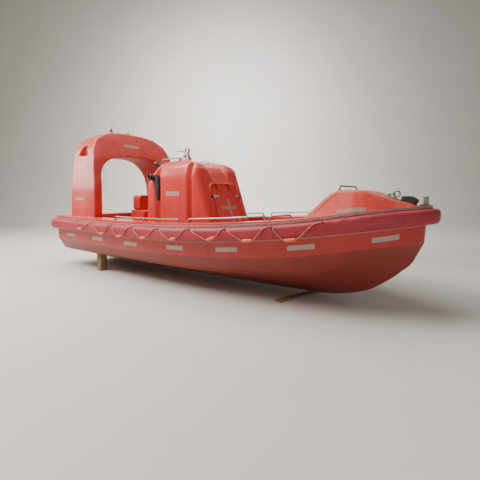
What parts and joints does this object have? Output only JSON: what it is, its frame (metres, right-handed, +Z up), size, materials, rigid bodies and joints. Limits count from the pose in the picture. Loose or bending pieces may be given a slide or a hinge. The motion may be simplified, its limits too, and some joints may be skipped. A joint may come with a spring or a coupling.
{
  "type": "open rescue lifeboat",
  "caption": "Open rescue lifeboat with a padded fender, self-righting arch over the stern, centre console with a front hatch and a lifting hook, and a raised foredeck, parked on timber.",
  "frame": {"origin": "on the ground below the middle of the boat's length and breadth", "axes": "+X towards the bow, +Y to port, +Z up"},
  "size_m": [6.396, 2.572, 2.632],
  "materials": {
    "gelcoat": "gloss, chalky and pink where weathered",
    "fender_cover": "satin coated foam",
    "stainless": "polished tube",
    "white_paint": "satin paint with stains",
    "black_rubber": "matte",
    "black_plastic": "satin",
    "rope": "weathered cord and foam floats",
    "grey_paint": "worn",
    "engine_paint": "satin",
    "cast_alloy": "cast, dull",
    "timber": "rough sawn, weathered",
    "clear_cap": "clear dome on a white base"
  },
  "bodies": {
    "boat": {"hull": "gelcoat", "deck_liner": "gelcoat", "fender": "fender_cover", "righting_arch": "gelcoat", "arch_light": "clear_cap", "arch_vent": "white_paint", "foredeck_trunk": "gelcoat", "console_body": "gelcoat", "hook_bracket": "white_paint", "lifting_hook": "white_paint", "helm_panel": "black_plastic", "deck_light": "black_plastic", "throttle": "black_plastic", "steering_column": "black_plastic", "seat_base": "gelcoat", "seat_back": "gelcoat", "engine_box": "gelcoat", "engine_block": "engine_paint", "trunk_rail": "stainless", "bow_ring_plate": "stainless", "bow_ring": "stainless", "bow_pad": "black_rubber", "bow_bollard": "grey_paint", "jet_housing": "cast_alloy", "bow_sleeper": "timber", "console_rail_port": "stainless", "console_rail_starboard": "stainless", "air_cowl_port": "black_rubber", "air_cowl_starboard": "black_rubber", "lifeline_port": "rope", "lifeline_starboard": "rope", "stern_post_port": "timber", "stern_post_starboard": "timber", "gunwale_rail_port_1": "stainless", "gunwale_rail_port_2": "stainless", "gunwale_rail_port_3": "stainless", "gunwale_rail_starboard_1": "stainless", "gunwale_rail_starboard_2": "stainless", "gunwale_rail_starboard_3": "stainless"},
    "hatch": {"console_hatch": "gelcoat"},
    "wheel": {"steering_wheel": "black_rubber"},
    "nozzle": {"jet_nozzle": "cast_alloy"},
    "bucket": {"reverse_bucket": "cast_alloy"}
  },
  "joints": [
    {"name": "hatch_hinge", "type": "hinge", "parent": "boat", "child": "hatch", "pos_m": [0.22748, 0, 1.47503], "axis": [0, -1, 0], "range_deg": [0, 100]},
    {"name": "wheel_turn", "type": "hinge", "parent": "boat", "child": "wheel", "pos_m": [-1.1, 0, 1.36], "axis": [0.9781, 0, -0.2079], "range_deg": [-450, 450]},
    {"name": "nozzle_steer", "type": "hinge", "parent": "boat", "child": "nozzle", "pos_m": [-3.068, 0, 0.3], "axis": [0, 0, 1], "range_deg": [-25, 25]},
    {"name": "bucket_lower", "type": "hinge", "parent": "boat", "child": "bucket", "pos_m": [-2.958, 0, 0.3], "axis": [0, -1, 0], "range_deg": [0, 60]}
  ],
  "couplings": [
    {"joint": "nozzle_steer", "follows": "wheel_turn", "ratio": 0.055556}
  ]
}
